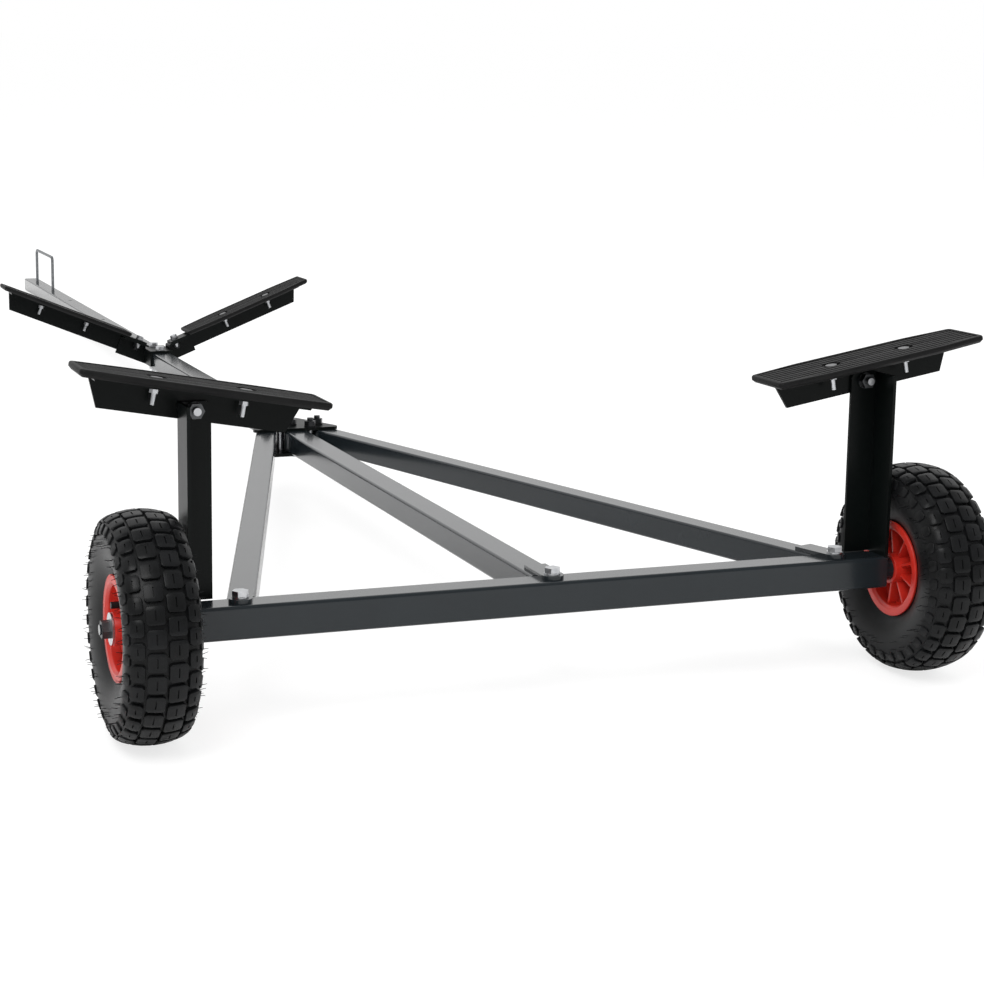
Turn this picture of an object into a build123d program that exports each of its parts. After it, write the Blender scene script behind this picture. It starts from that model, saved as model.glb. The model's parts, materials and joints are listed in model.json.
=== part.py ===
from build123d import *
from math import asin, atan, cos, degrees, hypot, pi, radians, sin, sqrt, tan
import os

# Hand launching trailer for a small boat: two pneumatic wheels, a cross beam with posts, a bolted
# spine with diagonal braces, two tilting rear bunks and a bow cradle with two fixed bunks

os.makedirs("parts", exist_ok=True)

# While drawing, X is across, Y forward along the spine and Z up, with the origin at mid beam on the
# axle line. Lengths are millimetres and angles are degrees. Side -1 is left and 1 is right.
sides = (("left", -1), ("right", 1))

# Square tube of the cross beam, and the angle posts on its ends
beam_tube = 40.0
beam_wall = 2.5
beam_corner = 4.0
beam_length = 900.0
end_cap = 6.0
post_leg = 38.0
post_web = 46.0
post_wall = 4.0
post_corner = 8.0
post_over_pivot = 10.0
pivot_rise = 219.5
pivot_inset = 19.0

# Spine of flatter tube: the mid tube, the hub plates and the drawbar
spine_width = 40.0
spine_height = 34.0
spine_wall = 2.5
spine_corner = 4.0
hub_y = 1110.0
joint_gap = 6.0
drawbar_end = 3900.0
hub_plate = 5.0
hub_rear_top = 14.0
hub_rear_bottom = 34.0
mid_bolt_back = 18.0
spacer_x = 26.5
spacer_back = 2.0
hub_front = 95.0
hub_width = 146.0
hub_nose = 56.0
hub_corner = 8.0
drawbar_bolt_inset = 24.0
drawbar_bolt_spacing = 44.0

# Diagonal braces, and the tabs that bolt down on the beam
brace_tube = 34.0
brace_wall = 2.0
brace_corner = 3.5
brace_foot_inset = 65.0
brace_head = 50.0
brace_past_hub = 30.0
brace_bolt_ahead = 18.0
tab_plate = 5.0
tab_width = 28.0
tab_lap = 34.0

# Bolts of the frame
frame_bolt = 10.0
bolt_slack = 0.5
bolt_flats = 17.0
bolt_head = 6.4
bolt_washer = 20.0
washer_plate = 2.0
nut_height = 8.0
bolt_tail = 5.0
dome_height = 3.0

# Wheels
tyre_diameter = 267.0
tyre_width = 85.0
tyre_gap = 5.5
tread_width = 66.0
tread_drop = 6.5
tyre_wall = 8.0
belly_radius = 104.0
rim_diameter = 122.0
rim_width = 67.0
rim_flange = 3.5
rim_wall = 3.5
bead_seat = 104.0
bead_width = 12.0
well_width = 20.0
well_depth = 6.0
disc_wall = 5.0
disc_offset = 14.0
hub_diameter = 38.0
hub_length = 70.0
rib_count = 9
rib_wall = 3.5
rib_setback = 7.0
axle_diameter = 20.0
shoulder_diameter = 30.0
running_fit = 0.05
end_play = 0.4
wheel_washer = 37.0
wheel_nut_flats = 19.0
wheel_nut_height = 10.0
thread_diameter = 12.0
thread_tail = 2.0
valve_diameter = 8.0
valve_length = 22.0
valve_place = 27.0

# Tread: lugs in rows on each half of the tyre, a centre row, a shoulder row and a low side row
lug_count = 32
lug_height = 5.0
lug_length = 20.5
lug_root = 1.5
lug_gap = 2.8
centre_lug = 20.0
centre_lean = 7.8
shoulder_lug = 13.0
shoulder_lean = 30.0
shoulder_step = 1.4
side_lug = 11.0
side_lug_length = 14.0
side_lug_height = 2.2
side_lean = 66.0
side_lug_x = 39.6
side_lug_radius = 114.5

# Bunks: an angle rail with a pad, on a pivot bolt at the rear
rail_wall = 4.0
rail_bend = 6.0
rail_leg = 42.0
leg_rise = 25.0
flange_drop = 12.5
rail_inset = 19.0
rail_bevel = 15.5
rest_tilt = 10.0
pad_length = 290.0
pad_width = 90.0
pad_end = 77.0
pad_taper = 65.0
pad_height = 9.0
pad_corner = 6.0
pad_forward = 10.0
pad_bolt_spacing = 104.0
pad_bolt = 6.0
pad_slot_length = 24.0
pad_slot_width = 16.0
pad_slot_depth = 4.0
pad_edge = 2.5
pad_rim = 6.5
groove_count = 9
groove_width = 3.4
groove_depth = 1.8
pad_bolt_head = 14.0
pad_bolt_dome = 2.5
pad_nut_flats = 10.0
pad_nut_height = 5.0
pad_washer = 13.0
pad_washer_plate = 1.5
pad_bolt_reach = 24.0
turn_gap = 0.3

# Bow cradle on the drawbar
cradle_setback = 1710.0
cradle_slope = 22.0
bow_inner_x = 73.26
bow_inner_z = 32.18
saddle_plate = 5.0
saddle_length = 96.0
saddle_skirt = 28.0
saddle_bolt_spacing = 66.0
bow_rail_overhang = 41.0
arm_drop = 20.0
arm_length = 50.0
arm_bolt = 8.0
arm_bolt_inset = 14.0
arm_bolt_flats = 13.0
arm_bolt_washer = 16.0

# Tow hoop, and the spare holes that the bow cradle can be moved to, set back from the drawbar's end
hoop_rod = 8.0
hoop_length = 265.0
hoop_height = 92.0
hoop_bend = 12.0
hoop_setback = 109.5
spare_hole = 9.0
spare_setback_rear = 1099.0
spare_setback_front = 644.0

# How far one section runs into the next, so that they join
overlap = 1.0

# Places that follow from the sizes
half = beam_tube / 2
beam_half = beam_length / 2
wheel_x = beam_half + tyre_gap + tyre_width / 2
tyre_radius = tyre_diameter / 2
bolt_hole = frame_bolt + bolt_slack
spine_z = half - spine_height / 2
spine_side = spine_width / 2
leg_front = post_web - half
pivot_x = beam_half - pivot_inset
pivot_z = half + pivot_rise
flange_front = leg_front + turn_gap + rail_wall
brace_foot = beam_half - brace_foot_inset
rail_reach = pad_length / 2 - rail_inset
bow_rail_inner = pad_length / 2 + bow_rail_overhang
cradle_x = bow_inner_x + pad_length / 2 * cos(radians(cradle_slope))
cradle_z = bow_inner_z + pad_length / 2 * sin(radians(cradle_slope))
cradle_y = drawbar_end - cradle_setback
bow_front = cradle_y + flange_front - pad_forward
bow_middle = cradle_x / cos(radians(cradle_slope))
arm_bolt_at = bow_rail_inner - arm_bolt_inset
beam_top = Plane.XY.offset(half)
spine_bottom = Plane.XY.offset(half - spine_height)
hub_low = half - spine_height - hub_plate
pieces = {}


def keep(name, builder):
    """Label a finished piece and hold it for parking."""
    builder.part.label = name
    pieces[name] = builder.part


def tube_run(plane, width, height, corner, wall, length):
    """Extrude a rounded rectangular tube from the plane along its normal."""
    with BuildSketch(plane) as section:
        RectangleRounded(width, height, corner)
        RectangleRounded(width - 2 * wall, height - 2 * wall, corner - wall / 2, mode=Mode.SUBTRACT)
    extrude(section.sketch, amount=length)


def disc(plane, diameter, height, mode=Mode.ADD):
    """Extrude a round disc from the plane along its normal."""
    with BuildSketch(plane) as section:
        Circle(diameter / 2)
    extrude(section.sketch, amount=height, mode=mode)


def hexagon(plane, flats, height):
    """Extrude a hexagon, given across its flats, from the plane along its normal."""
    with BuildSketch(plane) as section:
        RegularPolygon(flats / 2, 6, major_radius=False)
    extrude(section.sketch, amount=height)


def drill(plane, diameter, depth):
    """Cut a round hole from the plane against its normal."""
    disc(plane, diameter, -depth, Mode.SUBTRACT)


def fastener(plane, grip, bolt=frame_bolt, flats=bolt_flats, washer=bolt_washer):
    """Add a bolt with its head on the plane, two washers, and its nut on the far side of the grip."""
    nut_side = plane.offset(-grip)
    disc(plane, washer, washer_plate)
    hexagon(plane.offset(washer_plate), flats, bolt_head)
    disc(plane.offset(washer_plate), bolt, -(grip + 2 * washer_plate + nut_height + bolt_tail))
    disc(nut_side, washer, -washer_plate)
    hexagon(nut_side.offset(-washer_plate), flats, -nut_height)


def coach_bolt(plane, grip):
    """Add a bolt with its domed head on the plane, and a washer and nut on the far side of the grip."""
    nut_side = plane.offset(-grip)
    disc(plane, bolt_washer, dome_height)
    disc(plane, frame_bolt, -(grip + washer_plate + nut_height + bolt_tail))
    disc(nut_side, bolt_washer, -washer_plate)
    hexagon(nut_side.offset(-washer_plate), bolt_flats, -nut_height)


def bunk_frame(sign, x, y, z, slope):
    """Return a bunk's plane: X along its rail, Y up from the rail, its normal to the rear."""
    lean = radians(slope)
    return Plane(origin=(sign * x, y, z), x_dir=(cos(lean), 0, sign * sin(lean)), z_dir=(0, -1, 0))


def spot(frame, x, up, back=0.0):
    """Return the place of a point given along, up from and behind a bunk's plane."""
    return frame.origin + frame.x_dir * x + frame.y_dir * up + frame.z_dir * back


def angle_bar(frame, start, end, rise, drop, inset=0.0):
    """Extrude a folded angle along a bunk's plane: a flange down its front and a leg on top."""
    middle = rail_wall / 2
    with BuildSketch(Plane(origin=spot(frame, start, 0), x_dir=(0, 1, 0), z_dir=frame.x_dir)) as section:
        with BuildLine():
            FilletPolyline((-inset - middle, -drop), (-inset - middle, rise - middle),
                           (-rail_leg, rise - middle), radius=rail_bend - middle)
        trace(line_width=rail_wall)
    extrude(section.sketch, amount=end - start)


def bevel_end(frame, way, reach):
    """Cut an end of a bunk rail on a slant that runs in towards the flange's lower edge."""
    height = leg_rise + flange_drop
    slant = frame.x_dir * (way * height) - frame.y_dir * rail_bevel
    split(bisect_by=Plane(origin=spot(frame, way * reach, leg_rise), z_dir=slant), keep=Keep.BOTTOM)


def seat_plane(frame, x=0.0):
    """Return the plane of a rail's top face in the pad's middle line: X along it, its normal up."""
    origin = spot(frame, x, leg_rise, flange_front - pad_forward)
    return Plane(origin=origin, x_dir=frame.x_dir, z_dir=frame.y_dir)


def bow_frame(sign):
    """Return the plane of a bow bunk."""
    return bunk_frame(sign, cradle_x, bow_front, cradle_z, cradle_slope)


def pad_block(plane):
    """Extrude an eight-sided pad."""
    flank = pad_length / 2 - pad_taper
    with BuildSketch(plane) as outline:
        with BuildLine():
            Polyline((-pad_length / 2, -pad_end / 2), (-flank, -pad_width / 2), (flank, -pad_width / 2),
                     (pad_length / 2, -pad_end / 2), (pad_length / 2, pad_end / 2), (flank, pad_width / 2),
                     (-flank, pad_width / 2), (-pad_length / 2, pad_end / 2), close=True)
        make_face()
        fillet(outline.vertices(), pad_corner)
    extrude(outline.sketch, amount=pad_height)


def pad_cuts(plane):
    """Cut a pad's grooves, its two bolt recesses and their holes."""
    bolts = [(way * pad_bolt_spacing / 2, 0) for way in (-1, 1)]
    pitch = (pad_width - 2 * pad_rim) / groove_count
    with BuildSketch(plane.offset(pad_height)) as grooves:
        for k in range(groove_count):
            middle = (k - (groove_count - 1) / 2) * pitch
            room = pad_width / 2 - pad_rim - abs(middle) - groove_width / 2
            taper = min(room / (pad_width / 2 - pad_end / 2), 1) * pad_taper
            reach = min(pad_length / 2 - pad_taper + taper, pad_length / 2 - pad_rim)
            with Locations((0, middle)):
                Rectangle(2 * reach, groove_width)
    extrude(grooves.sketch, amount=-groove_depth, mode=Mode.SUBTRACT)
    with BuildSketch(plane.offset(pad_height)) as recess:
        with Locations(*bolts):
            SlotOverall(pad_slot_length, pad_slot_width)
    extrude(recess.sketch, amount=-pad_slot_depth, mode=Mode.SUBTRACT)
    with BuildSketch(plane) as holes:
        with Locations(*bolts):
            Circle((pad_bolt + bolt_slack) / 2)
    extrude(holes.sketch, amount=pad_height, mode=Mode.SUBTRACT)


def bolt_seats(plane):
    """Return the planes of a pad's two bolts."""
    places = [plane.origin + plane.x_dir * (way * pad_bolt_spacing / 2) for way in (-1, 1)]
    return [Plane(origin=place, x_dir=plane.x_dir, z_dir=plane.z_dir) for place in places]


def pad_fasteners(plane):
    """Add the two domed bolts of a pad with the washers and nuts under the rail's leg."""
    floor = pad_height - pad_slot_depth
    for seat in bolt_seats(plane):
        disc(seat.offset(floor), pad_bolt_head, pad_bolt_dome)
        disc(seat.offset(floor), pad_bolt, -(floor + pad_bolt_reach))
        disc(seat.offset(-rail_wall), pad_washer, -pad_washer_plate)
        hexagon(seat.offset(-rail_wall - pad_washer_plate), pad_nut_flats, -pad_nut_height)


def drill_leg(plane):
    """Drill the pad's bolt holes in the rail's leg."""
    for seat in bolt_seats(plane):
        drill(seat, pad_bolt + bolt_slack, rail_wall)


# Cross beam between the axle plates, drilled for the tabs of the mid tube and braces
beam_start = Plane(origin=(end_cap - beam_half, 0, 0), x_dir=(0, 1, 0), z_dir=(1, 0, 0))
tab_places = [(0, 0), (-brace_foot, 0), (brace_foot, 0)]
with BuildPart() as cross_beam:
    tube_run(beam_start, beam_tube, beam_tube, beam_corner, beam_wall, beam_length - 2 * end_cap)
    for x, y in tab_places:
        drill(Plane(origin=(x, y, half)), bolt_hole, beam_wall)
keep("cross_beam", cross_beam)

# Axles: a plate that closes the beam's end, a shoulder, the stub that carries the wheel and a thread
hub_inner = wheel_x - hub_length / 2 - end_play
hub_outer = wheel_x + hub_length / 2 + end_play
for side, sign in sides:
    cap = Plane(origin=(sign * (beam_half - end_cap), 0, 0), x_dir=(0, 1, 0), z_dir=(sign, 0, 0))
    cap_x = beam_half - end_cap
    with BuildPart() as axle:
        with BuildSketch(cap) as plate:
            RectangleRounded(beam_tube, beam_tube, beam_corner)
        extrude(plate.sketch, amount=end_cap)
        disc(cap, shoulder_diameter, hub_inner - cap_x)
        disc(cap, axle_diameter, hub_outer - cap_x)
        disc(cap, thread_diameter, hub_outer - cap_x + washer_plate + wheel_nut_height + thread_tail)
    keep(f"axle_{side}", axle)

# Posts: angles that stand on the beam, a web outward and a leg across its front
for side, sign in sides:
    with BuildPart() as post:
        with BuildSketch(beam_top) as section:
            with BuildLine():
                Polyline((sign * (beam_half - post_leg), leg_front - post_wall / 2),
                         (sign * (beam_half - post_wall / 2), leg_front - post_wall / 2),
                         (sign * (beam_half - post_wall / 2), -half))
            trace(line_width=post_wall)
        extrude(section.sketch, amount=pivot_rise + post_over_pivot)
        face = Plane(origin=(sign * pivot_x, leg_front, pivot_z), x_dir=(-1, 0, 0), z_dir=(0, 1, 0))
        drill(face, bolt_hole, post_wall)
        inner_edge = post.edges().filter_by(Axis.Y).group_by(Axis.Z)[-1].sort_by(Axis.X)
        fillet(inner_edge[0 if sign > 0 else -1], post_corner)
    keep(f"post_{side}", post)

# Mid tube, with the tab that bolts down on the beam
spine_start = Plane(origin=(0, half, spine_z), x_dir=(1, 0, 0), z_dir=(0, 1, 0))
mid_bolt_y = hub_y - mid_bolt_back
with BuildPart() as mid_tube:
    tube_run(spine_start, spine_width, spine_height, spine_corner, spine_wall, hub_y - joint_gap / 2 - half)
    with BuildSketch(beam_top) as tab:
        with Locations((0, half + tab_lap / 2 - half / 2)):
            Rectangle(tab_width, half + tab_lap)
        Circle(tab_width / 2)
    extrude(tab.sketch, amount=tab_plate)
    drill(beam_top.offset(tab_plate), bolt_hole, tab_plate)
    drill(Plane(origin=(0, mid_bolt_y, half - spine_height + spine_wall)), bolt_hole, spine_wall)
keep("mid_tube", mid_tube)

# Braces: each tube runs from the beam's front into the hub, with a tab on the beam
brace_span = brace_foot - brace_head
brace_run = hypot(brace_span, hub_y) * (1 + brace_past_hub / hub_y)
brace_bolt_at = 1 + brace_bolt_ahead / hub_y
brace_bolt_x = brace_foot - brace_span * brace_bolt_at
brace_bolt_y = hub_y * brace_bolt_at
for side, sign in sides:
    way = (-sign * brace_span, hub_y, 0)
    across = (hub_y, sign * brace_span, 0)
    foot = Plane(origin=(sign * brace_foot, 0, half - brace_tube / 2), x_dir=across, z_dir=way)
    lid = Plane(origin=(sign * brace_foot, 0, half), x_dir=across, z_dir=(0, 0, 1))
    with BuildPart() as brace:
        tube_run(foot, brace_tube, brace_tube, brace_corner, brace_wall, brace_run)
        split(bisect_by=Plane(origin=(0, half, 0), z_dir=(0, 1, 0)), keep=Keep.TOP)
        with BuildSketch(lid) as tab:
            with Locations((0, (half + tab_lap) / 2)):
                Rectangle(tab_width, half + tab_lap)
            Circle(tab_width / 2)
        extrude(tab.sketch, amount=tab_plate)
        drill(lid.offset(tab_plate), bolt_hole, tab_plate)
        drill(Plane(origin=(sign * brace_bolt_x, brace_bolt_y, half)), bolt_hole, brace_tube)
    keep(f"brace_{side}", brace)

# Bolts that hold the tabs on the beam, with their nuts inside its top wall
with BuildPart() as beam_bolts:
    for x, y in tab_places:
        fastener(Plane(origin=(x, y, half + tab_plate)), tab_plate + beam_wall)
keep("beam_bolts", beam_bolts)

# Hub: plates above and below the tube ends, bolted through, with two bolts in the gaps by the mid tube
drawbar_bolts = [(0, hub_y + drawbar_bolt_inset + k * drawbar_bolt_spacing) for k in range(2)]
hub_places = [(-brace_bolt_x, brace_bolt_y), (brace_bolt_x, brace_bolt_y)] + drawbar_bolts
hub_places += [(-spacer_x, hub_y - spacer_back), (spacer_x, hub_y - spacer_back)]
for name, plane, way, rear, places in (("hub_plate_top", beam_top, 1, hub_rear_top, hub_places),
                                       ("hub_plate_bottom", spine_bottom, -1, hub_rear_bottom,
                                        hub_places + [(0, mid_bolt_y)])):
    with BuildPart() as hub:
        with BuildSketch(plane) as outline:
            with BuildLine():
                Polyline((-hub_width / 2, hub_y - rear), (hub_width / 2, hub_y - rear),
                         (hub_width / 2, hub_y), (hub_nose / 2, hub_y + hub_front),
                         (-hub_nose / 2, hub_y + hub_front), (-hub_width / 2, hub_y), close=True)
            make_face()
            fillet(outline.vertices(), hub_corner)
            with Locations(*places):
                Circle(bolt_hole / 2, mode=Mode.SUBTRACT)
        extrude(outline.sketch, amount=way * hub_plate)
    keep(name, hub)
with BuildPart() as hub_bolts:
    for x, y in hub_places:
        coach_bolt(Plane(origin=(x, y, hub_low), z_dir=(0, 0, -1)), spine_height + 2 * hub_plate)
    coach_bolt(Plane(origin=(0, mid_bolt_y, hub_low), z_dir=(0, 0, -1)), hub_plate + spine_wall)
keep("hub_bolts", hub_bolts)

# Drawbar, drilled for the hub, the bow cradle, its spare places and the tow hoop
cradle_bolts = [(0, cradle_y + way * saddle_bolt_spacing / 2) for way in (-1, 1)]
drawbar_start = Plane(origin=(0, hub_y + joint_gap / 2, spine_z), x_dir=(1, 0, 0), z_dir=(0, 1, 0))
hoop_feet = [drawbar_end - hoop_setback - hoop_length, drawbar_end - hoop_setback]
with BuildPart() as drawbar:
    tube_run(drawbar_start, spine_width, spine_height, spine_corner, spine_wall,
             drawbar_end - hub_y - joint_gap / 2)
    for x, y in drawbar_bolts + cradle_bolts:
        drill(Plane(origin=(x, y, half)), bolt_hole, spine_height)
    for setback in (spare_setback_rear, spare_setback_front):
        drill(Plane(origin=(0, drawbar_end - setback, half)), spare_hole, spine_height)
    for y in hoop_feet:
        drill(Plane(origin=(0, y, half)), hoop_rod, spine_wall)
keep("drawbar", drawbar)

# Tow hoop: a bent rod with its feet in the drawbar's top wall
with BuildPart() as tow_hoop:
    foot_z = half - spine_wall
    with BuildLine() as path:
        FilletPolyline((0, hoop_feet[0], foot_z), (0, hoop_feet[0], half + hoop_height),
                       (0, hoop_feet[1], half + hoop_height), (0, hoop_feet[1], foot_z), radius=hoop_bend)
    with BuildSketch(Plane(origin=(0, hoop_feet[0], foot_z))) as rod:
        Circle(hoop_rod / 2)
    sweep(rod.sketch, path=path.line)
keep("tow_hoop", tow_hoop)

# Bow bracket: a saddle over the drawbar, with an angle arm under each bow rail
saddle_side = spine_side + saddle_plate
with BuildPart() as bow_bracket:
    for side, sign in sides:
        inner, outer = sorted((-sign * bow_middle, -sign * (bow_rail_inner - arm_length)))
        angle_bar(bow_frame(sign), inner, outer, leg_rise - rail_wall, arm_drop, rail_wall)
    with BuildSketch(Plane.XZ.offset(-cradle_y)) as trim:
        with Locations((0, half)):
            Rectangle(2 * spine_side + saddle_plate, 2 * cradle_z)
    extrude(trim.sketch, amount=saddle_length, both=True, mode=Mode.SUBTRACT)
    with BuildSketch(Plane.XZ.offset(-cradle_y)) as saddle:
        with Locations((0, half + saddle_plate - (saddle_skirt + saddle_plate) / 2)):
            Rectangle(2 * saddle_side, saddle_skirt + saddle_plate)
        with Locations((0, half - saddle_skirt / 2)):
            Rectangle(spine_width, saddle_skirt, mode=Mode.SUBTRACT)
    extrude(saddle.sketch, amount=saddle_length / 2, both=True)
    for x, y in cradle_bolts:
        drill(Plane(origin=(x, y, half + saddle_plate)), bolt_hole, saddle_plate)
    for side, sign in sides:
        drill(seat_plane(bow_frame(sign), -sign * arm_bolt_at), arm_bolt + bolt_slack, 2 * rail_wall)
keep("bow_bracket", bow_bracket)

# Bolts of the bow cradle: two through the drawbar and one through each arm
with BuildPart() as bow_bracket_bolts:
    for x, y in cradle_bolts:
        fastener(Plane(origin=(x, y, half + saddle_plate)), spine_height + saddle_plate)
    for side, sign in sides:
        fastener(seat_plane(bow_frame(sign), -sign * arm_bolt_at), 2 * rail_wall, arm_bolt, arm_bolt_flats,
                 arm_bolt_washer)
keep("bow_bracket_bolts", bow_bracket_bolts)

# Bunks: the rear pair turns on its pivot bolts and the bow pair is bolted to the arms
for side, sign in sides:
    rear = bunk_frame(sign, pivot_x, flange_front, pivot_z, rest_tilt)
    for name, frame, inner in (("bunk", rear, rail_reach), ("bow", bow_frame(sign), bow_rail_inner)):
        seat = seat_plane(frame)
        start, end = sorted((sign * rail_reach, -sign * inner))
        with BuildPart() as rail:
            angle_bar(frame, start, end, leg_rise, flange_drop)
            bevel_end(frame, sign, rail_reach)
            drill_leg(seat)
            if name == "bunk":
                bevel_end(frame, -sign, rail_reach)
                drill(Plane(origin=frame.origin, x_dir=(-1, 0, 0), z_dir=(0, 1, 0)),
                      frame_bolt + 2 * running_fit, rail_wall)
            else:
                drill(seat_plane(frame, -sign * arm_bolt_at), arm_bolt + bolt_slack, rail_wall)
        keep(f"{name}_rail_{side}", rail)
        with BuildPart() as pad:
            pad_block(seat)
            fillet(pad.faces().sort_by(Axis(seat.origin, seat.z_dir))[-1].edges(), pad_edge)
            pad_cuts(seat)
        keep(f"{name}_pad_{side}", pad)
        with BuildPart() as pad_bolts:
            pad_fasteners(seat)
        keep(f"{name}_pad_bolts_{side}", pad_bolts)

# Pivot bolts: the head in front of the flange and the nut behind the post's leg
for side, sign in sides:
    head = Plane(origin=(sign * pivot_x, flange_front + turn_gap, pivot_z), x_dir=(-1, 0, 0), z_dir=(0, 1, 0))
    with BuildPart() as pivot_bolt:
        fastener(head, post_wall + rail_wall + 2 * turn_gap)
    keep(f"pivot_bolt_{side}", pivot_bolt)

# Rows of lugs on each half of the tread: place across, radius and lean of the top, width, length,
# height and stagger in pitches
centre_x = lug_gap / 2 + centre_lug / 2
centre_radius = sqrt(tyre_radius ** 2 - (lug_length / 2) ** 2) - centre_lug / 2 * tan(radians(centre_lean))
shoulder_x = centre_x + centre_lug / 2 + lug_gap + shoulder_lug / 2 * cos(radians(shoulder_lean))
shoulder_radius = centre_radius - centre_lug / 2 * tan(radians(centre_lean)) - shoulder_step \
    - shoulder_lug / 2 * sin(radians(shoulder_lean))
lug_rows = [(centre_x, centre_radius, centre_lean, centre_lug, lug_length, lug_height, 1 / 4),
            (shoulder_x, shoulder_radius, shoulder_lean, shoulder_lug, lug_length, lug_height, -1 / 4),
            (side_lug_x, side_lug_radius, side_lean, side_lug, side_lug_length, side_lug_height, 1 / 4)]

# Wheels: a section in the plane of the axle, turned about it
for side, sign in sides:
    tread = tread_width / 2
    crown = tyre_radius - lug_height
    shoulder = crown - tread_drop
    flange_in = rim_width / 2 - rim_flange
    seat_r = bead_seat / 2
    flange_r = rim_diameter / 2
    belly = tyre_width / 2
    bead_in = flange_in - bead_width
    bead_top = flange_r - tyre_wall / 2
    inner_half = belly - tyre_wall
    place = Plane(origin=(sign * wheel_x, 0, 0), x_dir=(sign, 0, 0), z_dir=(0, -sign, 0))
    axis = Axis((0, 0, 0), (1, 0, 0))
    with BuildPart() as tyre:
        with BuildSketch(place) as section:
            with BuildLine():
                ThreePointArc((-tread, shoulder), (0, crown), (tread, shoulder))
                for way in (-1, 1):
                    TangentArc((way * belly, belly_radius), (way * tread, shoulder), tangent=(0, 1))
                    TangentArc((way * belly, belly_radius), (way * flange_in, flange_r + overlap), tangent=(0, -1))
                Polyline((flange_in, flange_r + overlap), (flange_in, seat_r), (-flange_in, seat_r),
                         (-flange_in, flange_r + overlap))
            make_face()
            with BuildLine():
                ThreePointArc((-tread, shoulder - tyre_wall), (0, crown - tyre_wall), (tread, shoulder - tyre_wall))
                Polyline((tread, shoulder - tyre_wall), (inner_half, belly_radius), (bead_in, bead_top),
                         (bead_in, seat_r - overlap), (-bead_in, seat_r - overlap), (-bead_in, bead_top),
                         (-inner_half, belly_radius), (-tread, shoulder - tyre_wall))
            make_face(mode=Mode.SUBTRACT)
        revolve(section.sketch, axis=axis)
        for x, radius, lean, width, length, height, stagger in lug_rows:
            for way in (-1, 1):
                turns = [(k + way * stagger) * 360 / lug_count for k in range(lug_count)]
                spots = [Pos(sign * wheel_x, 0, 0) * Rot(turn, 0, 0) * Pos(way * x, 0, radius) * Rot(0, way * lean, 0)
                         for turn in turns]
                with Locations(*spots):
                    Box(width, length, height + lug_root, align=(Align.CENTER, Align.CENTER, Align.MAX))
    keep(f"tyre_{side}", tyre)

    well_r = seat_r - well_depth
    rim_end = rim_width / 2
    with BuildPart() as rim:
        with BuildSketch(place) as section:
            with BuildLine():
                Polyline((-rim_end, flange_r), (-flange_in, flange_r), (-flange_in, seat_r),
                         (-well_width / 2 - well_depth, seat_r), (-well_width / 2, well_r),
                         (well_width / 2, well_r), (well_width / 2 + well_depth, seat_r),
                         (flange_in, seat_r), (flange_in, flange_r), (rim_end, flange_r),
                         (rim_end, seat_r), (rim_end - rim_wall, seat_r - rim_wall),
                         (well_width / 2 + well_depth, seat_r - rim_wall), (well_width / 2, well_r - rim_wall),
                         (-well_width / 2, well_r - rim_wall), (-well_width / 2 - well_depth, seat_r - rim_wall),
                         (rim_wall - rim_end, seat_r - rim_wall), (-rim_end, seat_r), close=True)
            make_face()
            with BuildLine():
                Polyline((disc_offset, well_r - rim_wall / 2), (disc_offset, hub_diameter / 2 - overlap),
                         (disc_offset + disc_wall, hub_diameter / 2 - overlap),
                         (disc_offset + disc_wall, well_r - rim_wall / 2), close=True)
            make_face()
            with Locations((0, (hub_diameter / 2 + axle_diameter / 2 + running_fit) / 2)):
                Rectangle(hub_length, hub_diameter / 2 - axle_diameter / 2 - running_fit)
        revolve(section.sketch, axis=axis)
        for k in range(rib_count):
            turn = 2 * pi * k / rib_count
            spoke = Plane(origin=(sign * wheel_x, 0, 0), x_dir=(sign, 0, 0),
                          z_dir=(0, -sign * cos(turn), -sign * sin(turn)))
            with BuildSketch(spoke) as rib:
                with BuildLine():
                    Polyline((disc_offset + overlap, hub_diameter / 2 - 2 * overlap), (rib_setback - rim_end, hub_diameter / 2 - 2 * overlap),
                             (rib_setback - rim_end, seat_r - rim_wall + overlap), (-well_width / 2, well_r - rim_wall + overlap),
                             (disc_offset + overlap, well_r - rim_wall + overlap), close=True)
                make_face()
            extrude(rib.sketch, amount=rib_wall / 2, both=True)
        valve_seat = Plane(origin=(sign * (wheel_x + disc_offset + disc_wall), 0, valve_place),
                           x_dir=(0, 1, 0), z_dir=(sign, 0, 0))
        drill(valve_seat, valve_diameter, disc_wall)
    keep(f"rim_{side}", rim)
    with BuildPart() as valve:
        disc(valve_seat.offset(-disc_wall), valve_diameter, valve_length)
    keep(f"valve_{side}", valve)

    nut_seat = Plane(origin=(sign * hub_outer, 0, 0), x_dir=(0, 1, 0), z_dir=(sign, 0, 0))
    with BuildPart() as wheel_washer_ring:
        disc(nut_seat, wheel_washer, washer_plate)
        drill(nut_seat.offset(washer_plate), thread_diameter, washer_plate)
    keep(f"wheel_washer_{side}", wheel_washer_ring)
    with BuildPart() as wheel_nut:
        hexagon(nut_seat.offset(washer_plate), wheel_nut_flats, wheel_nut_height)
        drill(nut_seat.offset(washer_plate + wheel_nut_height), thread_diameter, wheel_nut_height)
    keep(f"wheel_nut_{side}", wheel_nut)

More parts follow.
